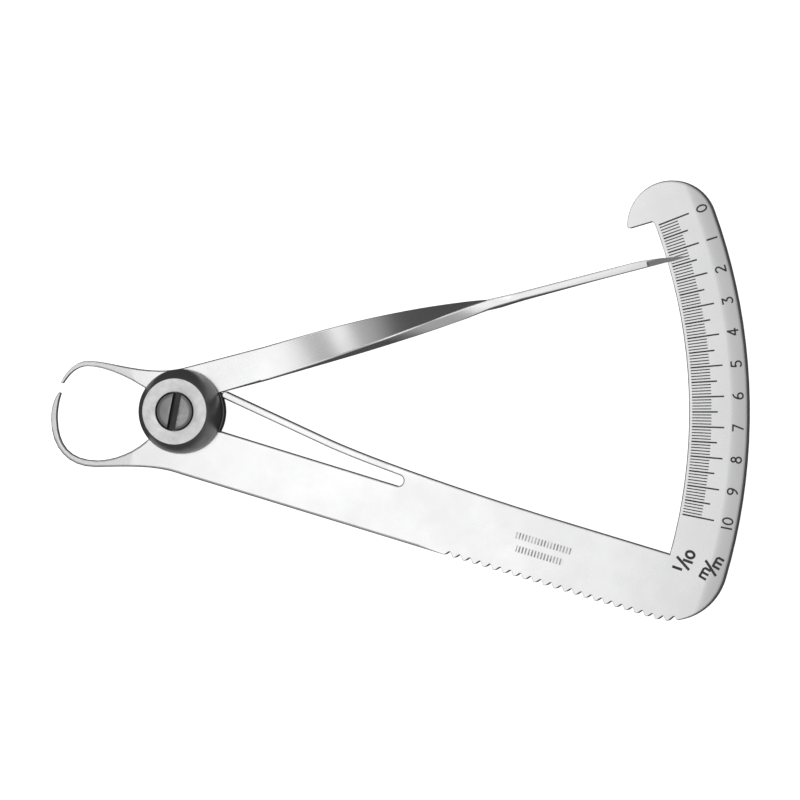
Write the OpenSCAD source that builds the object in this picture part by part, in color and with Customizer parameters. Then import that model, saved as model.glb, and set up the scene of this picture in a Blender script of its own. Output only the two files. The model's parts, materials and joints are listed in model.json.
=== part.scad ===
// Decimal spring caliper: two steel levers on one pivot, with a pointer that magnifies the jaw gap.
// Origin on the pivot axis at the flat back of the rear disc. +X runs from the pivot to the scale,
// the jaws lie at -X, and +Z is the engraved side. Millimetres and degrees.
// The shapes are drawn about the middle of the sheet, and lifted() sets each node on the origin.

/* [Sheet and blade] */
// Thickness of the steel sheet that both levers are cut from
sheet_t = 1.6; // [1.2:0.1:2]
// Direction of the blade below the X axis
blade_angle = 16.4; // [14:0.2:18]
// Depth of the blade's straight lower edge below its centre line
blade_low = 8.58; // [7:0.1:10]
// Height of the blade's upper edge at the scale above its centre line
blade_high = 0.76; // [0.4:0.05:1.2]

/* [Scale] */
// Radius of the scale's outer edge about the pivot
scale_r = 81.7; // [80:0.1:100]
// Width of the scale band, edge to edge
scale_w = 8.5; // [8:0.1:10.5]
// Direction of the zero mark above the X axis
zero_angle = 20.75; // [18:0.25:22]
// Full reading of the scale, in millimetres
full_reading = 10; // [6:1:12]
// Radius of the round heel where the blade turns into the scale
heel_r = 8.3; // [6:0.1:10]
// Radius of the round head of the hook
hook_r = 6.35; // [5:0.1:7]
// Direction of the inner corner under the hook above the X axis
hook_angle = 21.35; // [20:0.05:23]

/* [Engraving] */
// Depth of the engraved lines and figures
engrave_depth = 0.08; // [0.04:0.01:0.15]
// How far the black filling stops below the surface
fill_below = 0.02; // [0.01:0.01:0.03]
// Bare margin between the scale's inner edge and the marks
mark_margin = 0.5; // [0.3:0.05:0.8]
// Length of a tenth mark
tenth_len = 2.75; // [2:0.05:3]
// How much longer a half mark is than a tenth mark
half_extra = 0.9; // [0.6:0.1:1.4]
// How much longer a millimetre mark is than a tenth mark
mm_extra = 1.85; // [1.5:0.05:2.2]
// Width of a tenth mark
tenth_w = 0.15; // [0.08:0.01:0.2]
// Width of the half and millimetre marks
mm_w = 0.22; // [0.12:0.01:0.3]
// Height of the scale's figures
figure_h = 1.65; // [1.2:0.05:1.9]
// Stroke of the scale's figures
figure_w = 0.24; // [0.15:0.01:0.3]
// Distance from the scale's outer edge to the middle of the figures
figure_inset = 1.45; // [1.2:0.05:1.8]

/* [Grip teeth] */
// Distance along the blade from the pivot to the first tooth
teeth_start = 42.03; // [40:0.1:43]
// Distance from tooth to tooth
tooth_pitch = 1.517; // [1.2:0.001:1.52]
// Number of teeth
tooth_count = 23; // [8:1:23]
// Depth of the gullets between the teeth
tooth_depth = 0.66; // [0.4:0.02:0.9]

/* [Spring finger] */
// Thickness of the finger
finger_t = 1.05; // [0.8:0.05:1.3]
// Distance along the blade from the pivot to the slot's round end
slot_end = 33.65; // [30:0.25:36]
// Depth of the slot's lower edge below the blade's centre line
slot_low = 1.1; // [0.6:0.05:1.5]
// Radius of the slot's round end
slot_end_r = 0.77; // [0.6:0.01:0.9]
// Distance from the finger's root to the place where its bend is taken as a hinge
finger_flex = 3.7; // [3:0.1:5]

/* [Jaws] */
// Radius from the pivot to the tips of the jaws
jaw_r = 18.15; // [15:0.05:22]
// Direction in which the closed tips meet, from the X axis
jaw_angle = 171.4; // [169:0.1:174]
// Depth of the lower jaw's bow below the pivot
bow_low = 7.88; // [7:0.05:9]
// Height of the upper jaw's bow above the pivot with the jaws closed
bow_high = 6.3; // [5.8:0.05:7.5]
// Width of the bowed part of a jaw
horn_w = 0.94; // [0.7:0.02:1.2]
// How far the upper tip stands inside the lower one
tip_inset = 0.15; // [0:0.05:0.15]
// Width of a jaw at its tip
tip_w = 0.36; // [0.25:0.01:0.5]
// Thickness that the sheet is ground down to at the tips
tip_t = 0.8; // [0.5:0.05:1.2]

/* [Lever and pointer] */
// Reading at which the caliper is held open
reading = 1.3; // [0:0.1:10]
// Distance from the pivot axis to the lever's lower edge
lever_low = 1.27; // [1:0.02:1.6]
// Width of the lever's flat part
lever_w = 4.66; // [4:0.05:5.2]
// Distance from the pivot at which the twist starts
twist_start = 13; // [11:0.5:16]
// Distance from the pivot at which the lever stands on edge
twist_end = 47.5; // [42:0.5:52]
// Thickness of the needle seen from the front
needle_t = 1.12; // [0.8:0.02:1.3]
// Length of the sharpened end of the needle
point_len = 7.5; // [6:0.5:10]
// How far the needle reaches over the scale band
needle_reach = 2.6; // [1.5:0.1:3]
// Depth of the needle over the scale, front to back
needle_depth = 0.75; // [0.5:0.05:1]
// Gap between the needle and the face of the scale
needle_gap = 0.15; // [0.1:0.05:0.4]

/* [Pivot] */
// Radius of the half-thickness bosses that lap over each other
boss_r = 4.45; // [4.2:0.05:4.6]
// Radius of the front disc
disc_r = 6; // [5.8:0.05:6.6]
// Radius of the front disc's flat top
disc_top_r = 4.65; // [4.2:0.05:5]
// Height of the front disc
disc_h = 4.1; // [3.4:0.1:5]
// Radius of the rear disc
rear_r = 5.75; // [5.2:0.05:6]
// Thickness of the rear disc
rear_h = 2; // [1.6:0.1:3]
// Radius of the bearing sleeve
sleeve_r = 2.2; // [2:0.05:2.5]
// Radius of the screw's head
head_r = 2.65; // [2.6:0.05:3]
// Height of the screw's head
head_h = 1.5; // [1.2:0.05:1.8]
// Radius of the screw's shank
shank_r = 1.25; // [1:0.05:1.4]
// Width of the screwdriver slot
driver_w = 1.15; // [0.6:0.05:1.2]
// Depth of the screwdriver slot
driver_depth = 0.8; // [0.5:0.05:1]
// Direction of the screwdriver slot from the X axis
driver_angle = 79; // [0:1:180]

/* [Clearances] */
// Running clearance around the sleeve, on the radius
run_clear = 0.03; // [0.01:0.01:0.08]
// Gap between faces that slide past each other
face_clear = 0.02; // [0.01:0.01:0.05]
// Gap around the lapped bosses
lap_clear = 0.08; // [0.05:0.01:0.15]
// Gap between the finger's nose and the lever
nose_gap = 0.05; // [0.03:0.01:0.08]
// Gap between the discs' rims and the levers
rim_clear = 0.05; // [0.03:0.01:0.1]
// Clearance of the screw in the sleeve and the front disc, on the radius
screw_clear = 0.1; // [0.05:0.01:0.15]

/* [Hidden] */
$fn = 96;
half_t = sheet_t / 2;
deep = 20;

// The tips lie on a circle of radius jaw_r, so a gap of g opens the levers by 2 asin(g / 2 jaw_r).
// The marks are evenly spaced over the full reading.
degrees_per_mm = 2 * asin(full_reading / 2 / jaw_r) / full_reading;
opening = reading * degrees_per_mm;

// Places along the scale and the needle
scale_in_r = scale_r - scale_w;
needle_end = scale_in_r + needle_reach;
point_offset = 3.25;
needle_mid = lever_low + lever_w / 2 + 0.08;
lever_closed_angle = zero_angle - asin(point_offset / needle_end);
needle_low_z = half_t + needle_gap;
twist_lift = 0.28;

// The heel's centre lies heel_r above the blade's lower edge, and its arc runs into the scale's
heel_u = sqrt(pow(scale_r - heel_r, 2) - pow(blade_low - heel_r, 2));
heel_end = atan2(heel_r - blade_low, heel_u);
head_angle = hook_angle - 1.15;

// Finger: its upper edge is straight from the nose to the bend
nose_top = [5.5, 4.5];
finger_slope = -0.1382;
finger_bend_u = 22;
hinge_u = slot_end - slot_end_r - finger_flex;
knuckle_clear = 0.04;

// Pivot heights
disc_base = half_t + rim_clear;
disc_top = disc_base + disc_h;
rear_front = -half_t - 0.05;
washer_room = 0.35;
sleeve_top = disc_base + washer_room + 0.3;
sleeve_bottom = rear_front - 0.5;
rear_face = rear_front - rear_h;
screw_bottom = rear_face + 0.55;
bore_r = sleeve_r + run_clear;
washer_in_r = sleeve_r + 0.1;
washer_out_r = 3.9;

function polar(r, a) = [r * cos(a), r * sin(a)];
function turned(p, a) = [p[0] * cos(a) - p[1] * sin(a), p[0] * sin(a) + p[1] * cos(a)];
function arc(c, r, a0, a1, n) = [for (i = [0:n]) c + polar(r, a0 + (a1 - a0) * i / n)];
function cubic(a, b, c, d, n = 8) = [for (i = [0:n]) let (t = i / n, s = 1 - t)
    s * s * s * a + 3 * s * s * t * b + 3 * s * t * t * c + t * t * t * d];
function reversed(p) = [for (i = [len(p) - 1:-1:0]) p[i]];
function mix(a, b, t) = a + (b - a) * t;

// Unit vector square to a path at point i, on its left
function side(p, i) = let (a = p[max(i - 1, 0)], b = p[min(i + 1, len(p) - 1)], d = b - a)
    [-d[1], d[0]] / norm(d);
function beside(p, w) = [for (i = [0:len(p) - 1]) p[i] + side(p, i) * w];

// Upper edge of the blade, in the blade's own frame: straight along the finger, then a long sweep
function top_edge() = concat(
    [nose_top],
    cubic([finger_bend_u, nose_top[1] + finger_slope * (finger_bend_u - nose_top[0])],
          [27, 1.6], [38, blade_high + 0.14], [54, blade_high], 10));

// The teeth are cut into the straight lower edge and the start of the heel
teeth_end = teeth_start + tooth_count * tooth_pitch;
function lower_edge(u) = heel_r - blade_low - sqrt(pow(heel_r, 2) - pow(max(u - heel_u, 0), 2));

// One gullet between two teeth, deepest past the middle so that the teeth lean
function gullet(u) = [for (i = [0:9]) let (x = i / 10, v = u + x * tooth_pitch)
    [v, lower_edge(v) + tooth_depth * (1 - cos(360 * pow(x, 1.2))) / 2]];
function teeth() = [for (k = [0:tooth_count - 1]) each gullet(teeth_start + k * tooth_pitch)];

// Finger: a strip of even thickness under the blade's upper edge
finger_line = [for (p = concat([nose_top], [for (q = top_edge()) if (q[0] > nose_top[0] + 1) q]))
    if (p[0] < slot_end + 4) p];
finger_under = beside(finger_line, -finger_t);
finger_mid = beside(finger_line, -finger_t / 2);
hinge_at = [hinge_u, lookup(hinge_u, finger_mid)];
function part_of(p, u0, u1) = [for (q = p) if (q[0] > u0 && q[0] < u1) q];
slot_end_at = let (u = slot_end - slot_end_r) [u, lookup(u, finger_under) - slot_end_r];

// The finger's nose touches the lever's lower edge: its centre lies finger_t / 2 and the gap below it
lever_in_blade = lever_closed_angle - opening + blade_angle;
nose_mid = let (s = finger_slope, m0 = nose_top[1] - finger_t / 2 - s * nose_top[0],
    k = tan(lever_in_blade), q = (lever_low - finger_t / 2 - nose_gap) / cos(lever_in_blade),
    u = (m0 - q) / (k - s)) [u, m0 + s * u];

module lifted() translate([0, 0, -rear_face]) children();
module in_blade() rotate(-blade_angle) children();
module sheet(t = sheet_t) linear_extrude(height = t, center = true) children();

// Lower jaw: outer edge from the blade, around the bow to the tip, and back along the inner edge
module lower_jaw_shape() {
    left = jaw_r + 1.05;
    tip = polar(jaw_r, jaw_angle);
    outer = concat(
        cubic(turned([2.2, -blade_low + 0.02], -blade_angle), [-4.2, -bow_low + 0.35],
              [-8, -bow_low + 0.05], [-12.8, -bow_low]),
        cubic([-12.8, -bow_low], [-16.7, -bow_low], [-left, -bow_low + 2.7], [-left, -1.2]),
        cubic([-left, -1.2], [-left, 0.4], [-left + 0.35, 1.7], tip + [-tip_w / 2, -0.12], 6));
    inner = concat(
        cubic(tip + [tip_w / 2, -0.16], tip + [-0.2, -1.1], [-left + horn_w - 0.12, 0.2],
              [-left + horn_w - 0.1, -1], 6),
        cubic([-left + horn_w - 0.1, -1], [-left + horn_w, -4.7], [-16.6, -bow_low + horn_w],
              [-12.5, -bow_low + horn_w]),
        cubic([-12.5, -bow_low + horn_w], [-10.4, -bow_low + horn_w], [-6.6, -6], [-4, -3]));
    polygon(concat(outer, [tip + [-tip_w / 4, 0]], [tip + [tip_w / 4, -0.02]], inner, [[0, 0]]));
}

// Upper jaw, drawn closed, with the rise from the boss into the lever's upper edge
module upper_jaw_shape() {
    tip = polar(jaw_r - tip_inset, jaw_angle);
    shift = jaw_r - 18.15;
    outer = concat(
        cubic(tip + [-tip_w / 2, 0.12], [-17.46 - shift, 4.35], [-16.07 - shift, bow_high - 0.25],
              [-14.18 - shift, bow_high - 0.15]),
        cubic([-14.18 - shift, bow_high - 0.15], [-11.48, bow_high], [-7.9, 5.22], [-3.61, 5.53]),
        cubic([-3.61, 5.53], [-2.41, 5.62], [-0.93, 5.9], [1, 6.5], 5));
    inner = concat(
        cubic([-3, 1.2], [-6.3, 3.85], [-11.7, bow_high - horn_w + 0.32],
              [-14.42 - shift, bow_high - horn_w + 0.02]),
        cubic([-14.42 - shift, bow_high - horn_w + 0.02], [-16.1 - shift, bow_high - horn_w - 0.1],
              [-17.1 - shift, 3.8], tip + [tip_w / 2, 0.16]));
    polygon(concat(outer, [[1, 0]], inner, [tip + [tip_w / 4, 0.02]], [tip + [-tip_w / 4, 0]]));
}

// The jaws are ground thinner towards their tips, on both faces
module jaw_thickness() {
    far = jaw_r + 4;
    rotate([90, 0, 0]) linear_extrude(height = 40, center = true)
        polygon([[10, half_t], [-7, half_t], [-far, tip_t / 2], [-far, -tip_t / 2],
                 [-7, -half_t], [10, -half_t]]);
}

module blade_shape() {
    socket_r = finger_t / 2 + knuckle_clear;
    // Along the teeth, round the heel, back along the upper edge to the socket where the finger
    // bends, then under the finger's root and around the slot
    polygon(concat(
        [[0, -blade_low + 2], [2, -blade_low]], teeth(),
        arc([heel_u, heel_r - blade_low], heel_r,
            -acos(max(teeth_end - heel_u, 0) / heel_r), heel_end, 12),
        [polar(scale_r, heel_end + 0.5), [scale_r - 3, 3], [scale_in_r + 0.5, blade_high]],
        reversed(part_of(top_edge(), hinge_u + 0.3, scale_r)),
        arc(hinge_at, socket_r, 58, -76, 12),
        part_of(finger_under, hinge_u + 0.3, slot_end_at[0]),
        arc(slot_end_at, slot_end_r, 90, -90, 16),
        [[0, -slot_low]]));
}

module scale_band_shape() difference() {
    intersection() {
        circle(r = scale_r, $fn = 360);
        polygon([[0, 0], polar(2 * scale_r, heel_end - blade_angle + 0.1),
            polar(2 * scale_r, head_angle)]);
    }
    circle(r = scale_in_r, $fn = 360);
}

// Round head over the zero end, with a blunt tip pointing back over the needle
module hook_shape() {
    head = polar(scale_r - hook_r, head_angle);
    tip_r = 0.35;
    polygon(concat(
        arc(head, hook_r, head_angle, 180, 30),
        arc(head - [hook_r - tip_r, 0], tip_r, 190, 285, 5),
        [polar(scale_in_r - 0.25, hook_angle + 0.03), polar(scale_in_r, hook_angle - 0.2),
         polar(scale_in_r + 0.01, head_angle - 0.3), polar(scale_in_r + 1, head_angle - 1),
         polar(scale_r - 2, head_angle - 1)]));
}

module plate_outline() {
    circle(r = boss_r);
    scale_band_shape();
    hook_shape();
    in_blade() blade_shape();
}

// Lap: each lever keeps half of the sheet inside the boss
module lap_cut(z) translate([0, 0, z]) cylinder(r = boss_r + lap_clear, h = deep);
module bore(r) translate([0, 0, -deep]) cylinder(r = r, h = 2 * deep);

module engraved(depth) translate([0, 0, half_t - engrave_depth])
    linear_extrude(height = depth) children();

module mark_shape(tenth, length, width)
    rotate(zero_angle - tenth * degrees_per_mm / 10)
        translate([scale_in_r + mark_margin, -width / 2]) square([length, width]);

module tenth_shapes() for (i = [0:full_reading * 10])
    if (i % 5 != 0) mark_shape(i, tenth_len, tenth_w);
module half_shapes() for (i = [0:full_reading - 1])
    mark_shape(10 * i + 5, tenth_len + half_extra, mm_w);
module millimetre_shapes() for (i = [0:full_reading])
    mark_shape(10 * i, tenth_len + mm_extra, mm_w);

// Figures are drawn as strokes in a box one unit high
module stroke(p, w) polygon(concat(beside(p, w / 2), reversed(beside(p, -w / 2))));
module oval(c, rx, ry, w) translate(c) difference() {
    polygon([for (a = [0:15:345]) [(rx + w / 2) * cos(a), (ry + w / 2) * sin(a)]]);
    polygon([for (a = [0:15:345]) [(rx - w / 2) * cos(a), (ry - w / 2) * sin(a)]]);
}
module six(w) {
    oval([0.3, 0.29], 0.24, 0.23, w);
    stroke([[0.055, 0.3], [0.09, 0.55], [0.22, 0.8], [0.46, 0.96]], w);
}
module figure(n, w) {
    if (n == 0) oval([0.3, 0.5], 0.26, 0.43, w);
    if (n == 1) stroke([[0.3, 0], [0.3, 1]], w);
    if (n == 2) {
        stroke(concat(arc([0.3, 0.7], 0.23, 165, -35, 8), [[0.05, 0.06]]), w);
        stroke([[0, 0.07], [0.6, 0.07]], w);
    }
    if (n == 3) {
        stroke([[0.02, 0.93], [0.56, 0.93]], w);
        stroke([[0.5, 0.93], [0.27, 0.58]], w);
        stroke(arc([0.27, 0.32], 0.26, 95, -150, 10), w);
    }
    if (n == 4) {
        stroke([[0.42, 0], [0.42, 1]], w);
        stroke([[0.42, 0.94], [0.04, 0.32]], w);
        stroke([[0, 0.3], [0.64, 0.3]], w);
    }
    if (n == 5) {
        stroke([[0.56, 0.93], [0.1, 0.93]], w);
        stroke([[0.14, 0.95], [0.09, 0.5]], w);
        stroke(arc([0.27, 0.32], 0.26, 140, -150, 10), w);
    }
    if (n == 6) six(w);
    if (n == 7) {
        stroke([[0, 0.93], [0.6, 0.93]], w);
        stroke([[0.54, 0.94], [0.2, 0]], w);
    }
    if (n == 8) {
        oval([0.3, 0.74], 0.18, 0.19, w);
        oval([0.3, 0.29], 0.24, 0.23, w);
    }
    if (n == 9) translate([0.6, 1]) rotate(180) six(w);
}

// Figures stand with their heads towards the pivot
module figure_at(n, r, a, along) rotate(a) translate([r, 0]) rotate(90)
    scale(figure_h) translate([along - 0.3, -0.5]) figure(n, figure_w / figure_h);
module numeral_shapes() for (i = [0:full_reading]) {
    a = zero_angle - i * degrees_per_mm;
    r = scale_r - figure_inset;
    if (i < 10) figure_at(i, r, a, 0);
    if (i >= 10) {
        figure_at(1, r, a, -0.42);
        figure_at(i - 10, r, a, 0.18);
    }
}

// Unit signs below the scale: one tenth, and millimetre
module letter_m(w) {
    stroke([[0.06, 0], [0.06, 0.66]], w);
    stroke([[0, 0.6], [0.34, 0.6], [0.45, 0.5], [0.45, 0]], w);
    stroke([[0.4, 0.6], [0.73, 0.6], [0.84, 0.5], [0.84, 0]], w);
}
module unit_shapes() {
    h = 1.75;
    w = 0.22;
    low = zero_angle - full_reading * degrees_per_mm;
    rotate(low) translate([scale_in_r + 2.5, -6.45]) rotate(82) scale(h) {
        translate([-0.72, 0.2]) stroke([[0, 0], [0, 0.85]], w);
        stroke([[-0.55, -0.35], [0.15, 0.95]], w);
        translate([0.08, -0.45]) stroke([[0, 0], [0, 0.85]], w);
        translate([0.34, -0.45]) oval([0.3, 0.42], 0.26, 0.34, w);
    }
    rotate(low) translate([scale_in_r + 6.45, -6.6]) rotate(72) scale(h) {
        translate([-1.15, 0.15]) letter_m(0.2);
        stroke([[-0.45, -0.4], [0.25, 0.95]], w);
        translate([0.1, -0.4]) letter_m(0.2);
    }
}

module fixed_plate() color([0.93, 0.93, 0.94]) lifted() difference() {
    union() {
        sheet() plate_outline();
        intersection() {
            sheet() lower_jaw_shape();
            jaw_thickness();
        }
    }
    lap_cut(-face_clear);
    bore(sleeve_r);
    engraved(1) tenth_shapes();
    engraved(1) half_shapes();
    engraved(1) millimetre_shapes();
    engraved(1) numeral_shapes();
    engraved(1) unit_shapes();
}

module spring_finger() color([0.96, 0.96, 0.97]) lifted() in_blade() sheet()
    polygon(concat(
        part_of(finger_line, nose_mid[0], hinge_u),
        arc(hinge_at, finger_t / 2, 82, -98, 12),
        reversed(part_of(finger_under, nose_mid[0], hinge_u)),
        arc(nose_mid, finger_t / 2, -98, -278, 12)));

// Lever: flat near the pivot, then turned through a right angle and drawn out to a needle
function ease(x) = let (t = min(max(x, 0), 1)) mix(t, t * t * (3 - 2 * t), 0.45);
function between(s, a, b) = min(max((s - a) / (b - a), 0), 1);
function twist(s) = 90 * pow(between(s, twist_start, twist_end), 1.4);
function lever_thick(s) = mix(sheet_t, needle_t, ease(between(s, twist_end - 4, twist_end + 4)));
function lever_deep_top(s) = mix(lever_w / 2 - 0.12, needle_low_z + needle_depth,
    between(s, twist_end, needle_end));
function lever_deep_low(s) = mix(-lever_w / 2 + 0.12, needle_low_z,
    between(s, twist_end, scale_in_r - 9));
function point(s) = between(s, needle_end - point_len, needle_end);

// Section of the lever at s: four corners, in the plane across it
function section(s) = let (
    a = -twist(s),
    top = lever_deep_top(s), low = lever_deep_low(s),
    thick = lever_thick(s) * (1 - 0.85 * pow(point(s), 1.7)),
    wide = top - low,
    drop = mix(0, needle_mid - point_offset, pow(point(s), 1.5)),
    y0 = s < twist_start ? lever_low + lever_w / 2 : needle_mid,
    turn = between(s, twist_start, twist_end),
    mid_y = mix(lever_low + lever_w / 2, y0, ease(turn)) - drop + twist_lift * sin(180 * turn),
    mid_z = (top + low) / 2)
    [for (c = [[-1, -1], [1, -1], [1, 1], [-1, 1]]) let (
        y = c[0] * (s < twist_end ? mix(lever_w, wide, pow(turn, 0.5)) : wide) / 2,
        z = c[1] * thick / 2)
        [s, mid_y + y * cos(a) - z * sin(a), mid_z + y * sin(a) + z * cos(a)]];

module twisted_lever() {
    start = twist_start - 0.5;
    rings = 84;
    rows = [for (i = [0:rings]) section(mix(start, needle_end, i / rings))];
    points = [for (r = rows) each r];
    walls = [for (i = [0:rings - 1], k = [0:3]) let (a = 4 * i + k, b = 4 * i + (k + 1) % 4)
        each [[a, b + 4, b], [a, a + 4, b + 4]]];
    last = 4 * rings;
    polyhedron(points, concat([[0, 1, 2, 3], [last + 3, last + 2, last + 1, last]], walls));
}

// The point is ground on its lower front side
module point_grind() {
    ridge = needle_mid + 0.2;
    translate([needle_end - point_len + 2.2, ridge, needle_low_z + needle_depth + 0.06])
        rotate([42, 0, -1.5]) translate([0, -4, 0]) cube([12, 4, 3]);
}

module pointer_arm() color([0.9, 0.9, 0.91]) lifted() rotate(-opening) difference() {
    union() {
        cylinder(r = boss_r, h = sheet_t, center = true);
        intersection() {
            sheet() upper_jaw_shape();
            jaw_thickness();
        }
        rotate(lever_closed_angle) {
            sheet() polygon([[0, lever_low], [twist_start, lever_low],
                [twist_start, lever_low + lever_w], [1.5, lever_low + lever_w], [0, 3]]);
            difference() {
                twisted_lever();
                point_grind();
            }
        }
    }
    mirror([0, 0, 1]) lap_cut(-face_clear);
    bore(bore_r);
}

module pivot_sleeve() color([0.7, 0.7, 0.72]) lifted() difference() {
    translate([0, 0, sleeve_bottom]) cylinder(r = sleeve_r, h = sleeve_top - sleeve_bottom);
    bore(shank_r + screw_clear);
}

module front_disc() color([0.45, 0.45, 0.47]) lifted() {
    seat = disc_top + 0.15 - head_h;
    rotate_extrude() polygon(concat(
        [[shank_r + screw_clear, sleeve_top], [sleeve_r, sleeve_top],
         [sleeve_r, disc_base + washer_room], [washer_out_r + 0.2, disc_base + washer_room],
         [washer_out_r + 0.2, disc_base], [disc_r - 0.1, disc_base], [disc_r, disc_base + 0.1]],
        cubic([disc_r, disc_base + 0.6], [disc_r - 0.12, disc_base + 1.7],
              [disc_top_r + 0.85, disc_top - 0.9], [disc_top_r + 0.1, disc_top - 0.1], 10),
        [[disc_top_r, disc_top], [head_r + screw_clear, disc_top], [head_r + screw_clear, seat],
         [shank_r + screw_clear, seat]]));
}

module rear_disc() color([0.5, 0.5, 0.52]) lifted() difference() {
    translate([0, 0, rear_face]) rotate_extrude() polygon([
        [0, 0], [rear_r - 0.4, 0], [rear_r, 0.4], [rear_r, rear_h - 0.1], [rear_r - 0.1, rear_h],
        [0, rear_h]]);
    translate([0, 0, screw_bottom]) cylinder(r = shank_r, h = deep);
    translate([0, 0, sleeve_bottom]) cylinder(r = sleeve_r, h = deep);
}

module pivot_screw() color([0.55, 0.55, 0.57]) lifted() difference() {
    seat = disc_top + 0.15 - head_h;
    rotate_extrude() polygon(concat(
        [[0, screw_bottom], [shank_r - 0.2, screw_bottom], [shank_r, screw_bottom + 0.2],
         [shank_r, seat],
         [head_r, seat], [head_r, seat + head_h - 0.25]],
        cubic([head_r - 0.05, seat + head_h - 0.15], [head_r - 0.3, seat + head_h - 0.02],
              [1.2, seat + head_h + 0.08], [0, seat + head_h + 0.1], 6)));
    rotate(driver_angle) translate([-deep / 2, -driver_w / 2, seat + head_h - driver_depth])
        cube([deep, driver_w, deep]);
}

module disc_spring() color([0.6, 0.6, 0.62]) lifted() rotate_extrude() polygon([
    [washer_in_r, half_t + 0.16], [washer_out_r, half_t + face_clear],
    [washer_out_r, half_t + 0.2], [washer_in_r, half_t + 0.36]]);

module shim_washer() color([0.8, 0.7, 0.45]) lifted() translate([0, 0, rear_front]) difference() {
    cylinder(r = boss_r - 0.4, h = -half_t - rear_front);
    bore(sleeve_r);
}

module tenth_marks() color([0.1, 0.1, 0.1]) lifted() engraved(engrave_depth - fill_below) tenth_shapes();
module half_marks() color([0.1, 0.1, 0.1]) lifted() engraved(engrave_depth - fill_below) half_shapes();
module millimetre_marks() color([0.1, 0.1, 0.1]) lifted()
    engraved(engrave_depth - fill_below) millimetre_shapes();
module scale_numerals() color([0.1, 0.1, 0.1]) lifted()
    engraved(engrave_depth - fill_below) numeral_shapes();
module unit_marks() color([0.1, 0.1, 0.1]) lifted() engraved(engrave_depth - fill_below) unit_shapes();

fixed_plate();
pointer_arm();
spring_finger();
pivot_sleeve();
front_disc();
rear_disc();
pivot_screw();
disc_spring();
shim_washer();
tenth_marks();
half_marks();
millimetre_marks();
scale_numerals();
unit_marks();
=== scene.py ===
"""Decimal spring caliper: the visible pieces, their finishes and a plain studio.

Everything is in metres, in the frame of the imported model: +X runs from the pivot to the arc scale,
+Z is the engraved side, and the rear disc's flat back lies on z = 0.
"""

import functools
import json
import math

import bpy
from bpy.props import FloatProperty, FloatVectorProperty, PointerProperty
from bpy.types import Operator, Panel, PropertyGroup
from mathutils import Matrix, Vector

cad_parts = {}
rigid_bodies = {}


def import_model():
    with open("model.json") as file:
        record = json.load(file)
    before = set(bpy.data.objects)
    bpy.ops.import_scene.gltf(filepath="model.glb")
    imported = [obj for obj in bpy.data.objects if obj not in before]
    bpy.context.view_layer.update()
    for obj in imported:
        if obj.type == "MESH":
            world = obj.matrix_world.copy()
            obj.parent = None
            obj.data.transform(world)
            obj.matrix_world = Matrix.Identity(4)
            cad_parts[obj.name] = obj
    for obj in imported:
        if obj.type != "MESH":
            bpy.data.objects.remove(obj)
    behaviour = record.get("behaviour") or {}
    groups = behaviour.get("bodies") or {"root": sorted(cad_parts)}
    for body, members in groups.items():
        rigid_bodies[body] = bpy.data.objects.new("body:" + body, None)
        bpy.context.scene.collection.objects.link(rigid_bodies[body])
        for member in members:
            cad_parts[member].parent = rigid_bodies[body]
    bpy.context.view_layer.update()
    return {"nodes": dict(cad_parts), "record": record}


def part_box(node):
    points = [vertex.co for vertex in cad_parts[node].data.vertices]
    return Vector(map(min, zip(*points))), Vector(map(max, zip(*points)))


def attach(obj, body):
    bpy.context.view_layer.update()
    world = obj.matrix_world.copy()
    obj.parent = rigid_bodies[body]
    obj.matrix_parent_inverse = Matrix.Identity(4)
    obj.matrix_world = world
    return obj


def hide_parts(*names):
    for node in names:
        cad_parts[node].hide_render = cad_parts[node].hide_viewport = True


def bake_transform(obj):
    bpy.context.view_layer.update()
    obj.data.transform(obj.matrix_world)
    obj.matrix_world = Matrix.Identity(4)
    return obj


bl_info = {
    "name": "Decimal spring caliper",
    "version": (1, 0, 0),
    "blender": (4, 5, 0),
    "location": "View3D > Sidebar > Caliper",
    "description": "Builds the visible pieces, finishes and studio of a decimal spring caliper",
    "category": "Object",
}

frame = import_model()

MM = 0.001
JOINTS = {joint["name"]: joint for joint in frame["record"]["behaviour"]["joints"]}
HINGE = Vector(JOINTS["finger_flex"]["pos_m"])
PLATE_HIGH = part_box("fixed_plate")[1]
SCALE_R = PLATE_HIGH.x
# The blade's own frame: along runs from the pivot down the blade, across points to the lever
BLADE_ANGLE = math.radians(-16.4)
ALONG = Vector((math.cos(BLADE_ANGLE), math.sin(BLADE_ANGLE), 0))
ACROSS = Vector((-math.sin(BLADE_ANGLE), math.cos(BLADE_ANGLE), 0))
# The finger, the socket about its hinge, and the direction of the line across that hinge
FINGER_T = 1.05 * MM
SOCKET_R = FINGER_T / 2 + 0.04 * MM
KNUCKLE_ANGLE = BLADE_ANGLE + math.radians(82)
ARC_STEPS = 12
# Where the finger is cut off the plate, and the stretch of it that is cut into even steps
FINGER_CUT = 32 * MM
STEPS_FROM, STEPS_TO = 31 * MM, 8 * MM
# Edges inside this radius lie under the discs and stay sharp
BOSS_R = 4.6 * MM
# The lever's direction, and the short step along it where the twist starts
LEVER_ANGLE = math.radians(14.13)
TWIST_STEP = (12.3 * MM, 13.5 * MM)
# Edge weights near the needle's end: millimetres short of the tip, and the weight up to there
NEEDLE_WEIGHTS = ((0.4, 0.08), (3, 0.15), (8, 0.3), (math.inf, 0.6))
TURNED_STEPS = 128

# Vertices nearer than this are one, and faces that bend less than this are one flat face
SAME_PLACE = 1e-7
FLAT_ANGLE = math.radians(0.3)
# Bends at which a change of bevel width makes a spike, and the share of an edge it may take up
SPIKE_BENDS = (math.radians(1.9), math.radians(60))
SPIKE_SHARE = 0.4

# Sockets of the Mix node, whose colour sockets share their names with its other kinds
MIX_FACTOR, MIX_LOW, MIX_HIGH, MIX_RESULT = 0, 6, 7, 2

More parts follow.
